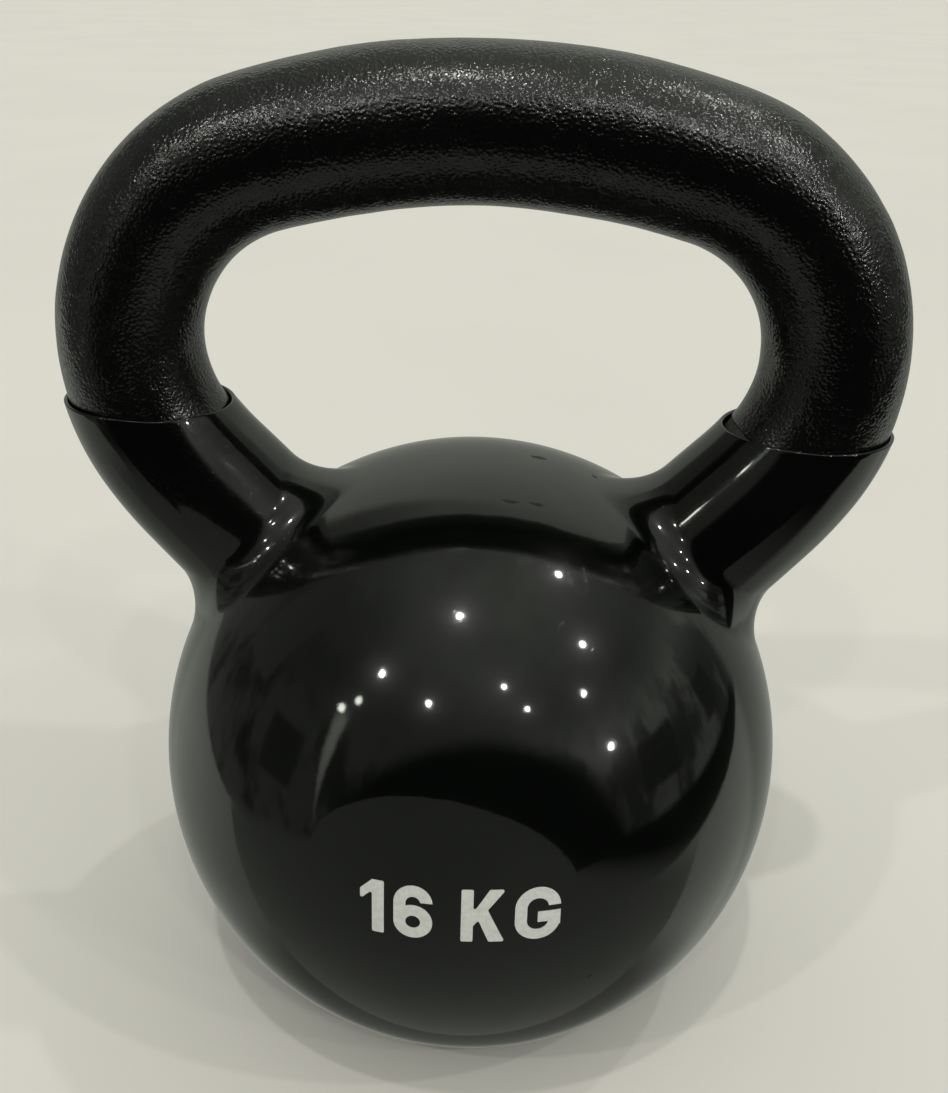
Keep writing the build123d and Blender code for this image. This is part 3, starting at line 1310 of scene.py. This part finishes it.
@dataclass
class RoomMap:
    """The room that the vinyl mirrors, laid out by direction.

    Azimuths run from -Y towards +X and heights up from the horizon, in degrees. Most fades below are
    laid over how far the look goes up, or along one azimuth.
    """

    desk: Desk
    look: Socket
    dark: float = 0.012
    low_wall: Fade = (-0.8, 0.8, 0.17, 0.30)
    high_wall: Fade = (-0.8, 0.8, 0.19, 0.66)
    wall_rise: Fade = (0.05, 0.40, 0.0, 1.0)
    clutter: Fade = (0.40, 0.58, 0.35, 1.15)
    clutter_rise: Fade = (0.22, 0.55, 1.0, 0.0)
    ceiling_rise: Fade = (0.50, 0.95, 0.26, 0.58)
    ceiling_side: Fade = (-0.7, 0.3, 0.5, 1.05)
    ceiling_mottle: Fade = (0.3, 0.7, 0.85, 1.15)
    cornice: Fade = (0.30, 0.62, 0.0, 1.0)
    # Shade, azimuth, width, foot and top of each thing that stands by the walls.
    furniture: tuple[tuple[float, ...], ...] = (
        (0.20, -97.0, 17.0, 14.0, 47.0),
        (0.08, -70.0, 15.0, -4.0, 13.0),
        (0.08, 72.0, 17.0, -2.0, 13.0),
        (0.08, 102.0, 9.0, 0.0, 12.0),
    )
    block_soft: float = 0.02
    block_facing: Fade = (0.1, 0.3, 0.0, 1.0)
    far_sheet: Fade = (0.2, 0.9, 0.64, 0.44)
    near_sheet: Fade = (-0.7, 0.7, 0.34, 0.50)
    sheet_reach: Fade = (-0.75, -0.25, 0.0, 1.0)
    gap_edge: Edge = (35.0, 13.0, 3.0)
    gap_side: Fade = (0.3, 0.6, 0.0, 1.0)
    left_edge: Edge = (-37.0, 30.0, 1.6)
    right_edge: Edge = (35.0, 35.0, 1.6)
    backdrop_azimuth: float = 172.0
    backdrop_side: Fade = (0.53, 0.62, 0.0, 1.0)
    backdrop_top: Fade = (0.88, 0.84, 0.0, 1.0)
    backdrop_shade: Fade = (0.0, 0.75, 0.35, 0.64)
    front: Patch = (5.0, -20.0, 50.0, 9.0)
    underneath: Fade = (-0.72, -0.90, 0.0, 1.0)
    under_glow: float = 0.15
    fitting_azimuth: float = -52.0
    fitting_side: Fade = (0.2, 0.5, 0.0, 1.0)
    fitting_width: Fade = (-0.15, 0.45, 0.008, 0.042)
    fitting_edge: Fade = (0.4, 1.5, 1.0, 0.0)
    fitting_rise: Fade = (-0.26, 0.30, 0.0, 1.3)
    fitting_top: Fade = (0.50, 0.40, 0.0, 1.0)
    fitting_ends: tuple[Patch, ...] = ((-54.0, 28.0, 1.2, 1.4), (-49.0, 33.0, 1.2, 1.4))
    end_glow: float = 20.0

    @staticmethod
    def ray(azimuth: float, height: float) -> Place:
        """Give the unit direction at an azimuth and height."""
        a, h = np.radians(azimuth), np.radians(height)
        return (float(np.sin(a) * np.cos(h)), float(-np.cos(a) * np.cos(h)), float(np.sin(h)))

    def along(self, azimuth: float, height: float = 0.0) -> Socket:
        """Measure how far the look goes along a direction: 1 straight at it, 0 square to it."""
        return self.desk.vector("DOT_PRODUCT", self.look, self.ray(azimuth, height))

    def up(self) -> Socket:
        """Measure how far the look goes up.

        Returns:
            1 straight up, 0 level.
        """
        made = self.desk.node("SeparateXYZ")
        self.desk.feed(made.inputs[0], self.look)
        return made.outputs[2]

    def cap(self, azimuth: float, height: float, radius: float, soft: float) -> Socket:
        """Mask a round patch of the room.

        Args:
            azimuth: Its centre's azimuth.
            height: Its centre's height.
            radius: Its angular radius.
            soft: How wide its edge is.

        Returns:
            The mask, 1 inside.
        """
        low = float(np.cos(np.radians(radius + soft / 2.0)))
        high = float(np.cos(np.radians(max(radius - soft / 2.0, 0.0))))
        return self.desk.ramp(self.along(azimuth, height), low, high)

    def below(self, facing: float, dip: float, soft: float) -> Socket:
        """Mask what lies under a straight edge that stands square to an azimuth.

        Args:
            facing: The azimuth towards the edge's nearest place.
            dip: How far under the horizon that place is; the edge meets the horizon 90 degrees away.
            soft: How wide the edge is.

        Returns:
            The mask, 1 under the edge.
        """
        half = float(np.sin(np.radians(soft / 2.0)))
        return self.desk.ramp(self.along(facing, 90.0 - dip), -half, half, 1.0, 0.0)

    def lay(self, under: Socket | float, mask: Socket, value: object) -> Socket:
        """Lay a value over another through a mask."""
        made = self.desk.node("Mix", data_type="FLOAT")
        return self.desk.feed_all(made, {"Factor": mask, "A": under, "B": value}).outputs["Result"]

    def block(self, azimuth: float, width: float, low: float, high: float) -> Socket:
        """Mask an upright rectangle of the room.

        Args:
            azimuth: Its middle's azimuth.
            width: Its width in degrees.
            low: Its foot's height.
            high: Its top's height.

        Returns:
            The mask, 1 inside, with slightly soft edges.
        """
        desk = self.desk
        soft = self.block_soft
        up = self.up()
        half, foot_at, top_at = (float(np.sin(np.radians(a))) for a in (width / 2.0, low, high))
        off = desk.math("ABSOLUTE", self.along(azimuth + 90.0))
        sides = desk.ramp(off, half - soft, half + soft, 1.0, 0.0)
        foot = desk.ramp(up, foot_at - soft, foot_at + soft)
        top = desk.ramp(up, top_at - soft, top_at + soft, 1.0, 0.0)
        facing = desk.ramp(self.along(azimuth), *self.block_facing)
        return desk.times(desk.times(sides, facing), desk.times(foot, top))

    def walls(self) -> Socket:
        """Lay out the walls and ceiling, dim on the left, with things standing about.

        Returns:
            Their brightness.
        """
        desk = self.desk
        up, right = self.up(), self.along(90.0)
        low_wall, high_wall = desk.ramp(right, *self.low_wall), desk.ramp(right, *self.high_wall)
        wall = self.lay(low_wall, desk.ramp(up, *self.wall_rise), high_wall)
        clutter = desk.ramp(desk.noise(self.stretched(), 5.0, 3.0, 0.6), *self.clutter)
        wall = desk.times(wall, self.lay(1.0, desk.ramp(up, *self.clutter_rise), clutter))
        ceiling = desk.times(desk.ramp(up, *self.ceiling_rise), desk.ramp(right, *self.ceiling_side))
        drift = desk.noise(self.look, 2.2, 3.0, 0.55)
        ceiling = desk.times(ceiling, desk.ramp(drift, *self.ceiling_mottle))
        room = self.lay(wall, desk.ramp(up, *self.cornice), ceiling)
        for shade, *place in self.furniture:
            room = self.lay(room, self.block(*place), shade)
        return room

    def radiance(self) -> Socket:
        """Lay the room out, from its walls to the pale sheet, the backdrop and the dark front.

        Returns:
            Its brightness.
        """
        desk = self.desk
        up, right = self.up(), self.along(90.0)
        near_sheet = desk.ramp(right, *self.near_sheet)
        far_sheet = desk.ramp(self.along(180.0), *self.far_sheet)
        sheet = self.lay(near_sheet, desk.ramp(up, *self.sheet_reach), far_sheet)
        gap = desk.times(self.below(*self.gap_edge), desk.ramp(right, *self.gap_side))
        room = self.lay(self.walls(), gap, self.dark)
        room = self.lay(room, desk.times(self.below(*self.left_edge), self.below(*self.right_edge)), sheet)
        behind = desk.ramp(self.along(self.backdrop_azimuth), *self.backdrop_side)
        behind = desk.times(behind, desk.ramp(up, *self.backdrop_top))
        room = self.lay(room, behind, desk.ramp(up, *self.backdrop_shade))
        room = self.lay(room, self.cap(*self.front), self.dark)
        return self.lay(room, desk.ramp(up, *self.underneath), self.under_glow)

    def stretched(self) -> Socket:
        """Stretch the look upwards, for things that stand on the floor round the room."""
        made = self.desk.node("Mapping")
        return self.desk.feed_all(made, {"Vector": self.look, "Scale": (1.0, 1.0, 0.45)}).outputs[0]

    def tube_lamp(self) -> Socket:
        """Light a long fitting on the left: two bright ends near the ceiling and a glow that fades down.

        Returns:
            The fitting's brightness.
        """
        desk = self.desk
        up = self.up()
        off = desk.math("ABSOLUTE", self.along(self.fitting_azimuth + 90.0))
        width = desk.ramp(up, *self.fitting_width)
        line = desk.ramp(desk.math("DIVIDE", off, width), *self.fitting_edge)
        reach = desk.times(desk.ramp(up, *self.fitting_rise), desk.ramp(up, *self.fitting_top))
        facing = desk.ramp(self.along(self.fitting_azimuth), *self.fitting_side)
        glow = desk.times(desk.times(line, reach), facing)
        for end in self.fitting_ends:
            glow = desk.share(self.cap(*end), self.end_glow, glow)
        return glow


@dataclass
class Studio:
    """A pale floor under a softly lit room with a group of small ceiling lamps."""

    floor_half: float = 60.0
    lamps: tuple[Lamp, ...] = (
        Lamp(0.48, 0.15, 1.0),
        Lamp(-0.08, -0.28, 1.5),
        Lamp(0.81, -0.32, 1.1),
        Lamp(-0.73, -0.71, 1.1),
        Lamp(0.27, -0.86, 0.6),
        Lamp(1.07, -0.79, 0.6),
        Lamp(-0.37, -1.09, 0.7),
        Lamp(0.54, -1.11, 0.6),
        Lamp(2.58, -1.82, 0.8),
    )
    lamp_strength: float = 0.21
    lamp_width: float = 1.8
    lamp_colour: Place = (1.0, 0.985, 0.95)
    room_light: float = 0.48
    room_tint: Colour = (1.0, 0.99, 0.95, 1.0)
    mirrored_tint: Colour = (0.955, 1.0, 0.88, 1.0)
    backdrop: Colour = (0.78, 0.77, 0.69, 1.0)
    # Middle, half width, height and distance of the upright card, which paints a grey reflection.
    front_size: tuple[float, ...] = (-0.03, 0.128, 0.109, 0.16)
    # Middle, half width, near edge, far edge and height of the floor patch, which paints the reflection of
    # the floor in shade.
    patch_size: tuple[float, ...] = (-0.045, 0.29, 0.065, 0.25, 0.0005)

    def floor(self) -> bpy.types.Object:
        """Lay the floor as one flat sheet under the base.

        Returns:
            The floor.
        """
        h = self.floor_half
        corners = [(-h, -h, 0.0), (h, -h, 0.0), (h, h, 0.0), (-h, h, 0.0)]
        sheet = flat_sheet("paper_floor", corners, PalePaper().make())
        sheet.visible_glossy = False
        return sheet

    def stand_in_front(self) -> None:
        """Put two glowing cards in front, seen only in mirrored rays: a dim half-ellipse that paints a grey
        reflection, and a floor patch that paints the floor in shade.
        """
        middle, across, height, back = self.front_size
        turn = np.linspace(0.0, np.pi, 48)
        arch = [(float(middle + across * np.cos(t)), -back, float(height * np.sin(t))) for t in turn]
        # Painted reflection: a dim grey glowing half-ellipse standing upright in front.
        self.mirrored_card("front_figure", arch, PaintedReflectionCard())
        middle, wide, near, far, lift = self.patch_size
        left, right = middle - wide, middle + wide
        patch = [(left, -far, lift), (right, -far, lift), (right, -near, lift), (left, -near, lift)]
        # Painted shade: a glowing patch shows the floor in front as if in shade, in mirrored rays only.
        self.mirrored_card("front_patch", patch, PaintedReflectionCard(middle=middle, half_width=wide))

    def mirrored_card(self, name: str, corners: list[Place], reflection_finish: PaintedReflectionCard) -> None:
        """Make a flat card that only mirrored rays meet.

        Args:
            name: Its name.
            corners: Its outline, in order.
            reflection_finish: Its glowing finish, which paints a reflection.
        """
        card = flat_sheet(name, corners, reflection_finish.make())
        card.visible_camera = False
        card.visible_diffuse = False
        card.visible_shadow = False

    def hang_lamps(self) -> None:
        """Hang the ceiling lamps as distant discs, so that they light the whole floor evenly."""
        for number, lamp in enumerate(self.lamps, start=1):
            light = bpy.data.lights.new(f"ceiling_lamp_{number}", "SUN")
            light.energy = self.lamp_strength * lamp.share
            light.angle = np.radians(self.lamp_width)
            light.color = self.lamp_colour
            holder = put_in_scene(light.name, light)
            holder.rotation_euler = Vector((lamp.across, lamp.back, 1.0)).to_track_quat("Z", "Y").to_euler()

    def room(self) -> None:
        """Shade the world: the room's map for mirrored rays, an even ceiling light for the rest."""
        world = bpy.data.worlds.new("soft_room")
        bpy.context.scene.world = world
        world.use_nodes = True
        world.node_tree.nodes.clear()
        world.cycles.sampling_method = "NONE"
        desk = Desk(world.node_tree)
        room = RoomMap(desk, desk.node("TexCoord").outputs["Generated"])
        glow = desk.math("ADD", room.radiance(), room.tube_lamp())

        def light(colour: Colour, strength: object) -> Socket:
            """Add a Background of one colour."""
            return desk.feed_all(desk.node("Background"), {"Color": colour, "Strength": strength}).outputs[0]

        def pick(ray: str, otherwise: Socket, chosen: Socket) -> Socket:
            """Choose between two lights by the kind of ray.

            Args:
                ray: The name of the Light Path output that tells.
                otherwise: The light for other rays.
                chosen: The light for such rays.

            Returns:
                The light's socket.
            """
            made = desk.node("MixShader")
            for socket, value in zip(made.inputs, (desk.node("LightPath").outputs[ray], otherwise, chosen)):
                desk.feed(socket, value)
            return made.outputs[0]

        even = light(self.room_tint, self.room_light)
        shine = pick("Is Glossy Ray", even, light(self.mirrored_tint, glow))
        seen = pick("Is Camera Ray", shine, light(self.backdrop, 1.0))
        desk.feed(desk.node("OutputWorld").inputs["Surface"], seen)

    def build(self) -> None:
        """Set up floor, lamps and room."""
        self.floor()
        self.stand_in_front()
        self.hang_lamps()
        self.room()
        bpy.context.scene.view_settings.view_transform = "Standard"


@dataclass
class Viewpoint:
    """A camera held close in front, above the handle's top, looking down at the ball."""

    place: Place = (0.0045, -0.2861, 0.2522)
    down: float = 25.1
    to_left: float = 1.0
    roll: float = 1.55
    lens: float = 41.0
    clip_start: float = 0.01

    def build(self) -> bpy.types.Object:
        """Set up the camera and make it the scene's own.

        Returns:
            The camera's object.
        """
        camera = bpy.data.cameras.new("viewpoint")
        camera.lens = self.lens
        camera.clip_start = self.clip_start
        holder = put_in_scene("viewpoint", camera)
        aim = Euler(np.radians((90.0 - self.down, 0.0, self.to_left)), "XYZ").to_matrix()
        turn = Euler(np.radians((0.0, 0.0, self.roll)), "XYZ").to_matrix()
        holder.rotation_euler = (aim @ turn).to_euler()
        holder.location = self.place
        bpy.context.scene.camera = holder
        return holder


def main() -> None:
    """Build the kettlebell's pieces in order, then the studio round them."""
    logging.basicConfig(level=logging.INFO, format="%(message)s")
    line = HandleLine()
    dip = DipLine()
    low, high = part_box("vinyl_jacket")

    core = IronCore().dress()
    coat = HandleCoat(line, dip)
    grip = coat.build()
    coat.dress(grip)
    jacket = VinylJacket(line, dip, ball_radius=(high[1] - low[1]) / 2.0)
    sleeve = jacket.build()
    jacket.dress(sleeve)
    mark = WeightMark().dress()
    for piece in (core, grip, sleeve, mark):
        LOG.info("%s: %d faces", piece.name, len(piece.data.polygons))

    Studio().build()
    Viewpoint().build()


if __name__ == "__main__":
    main()
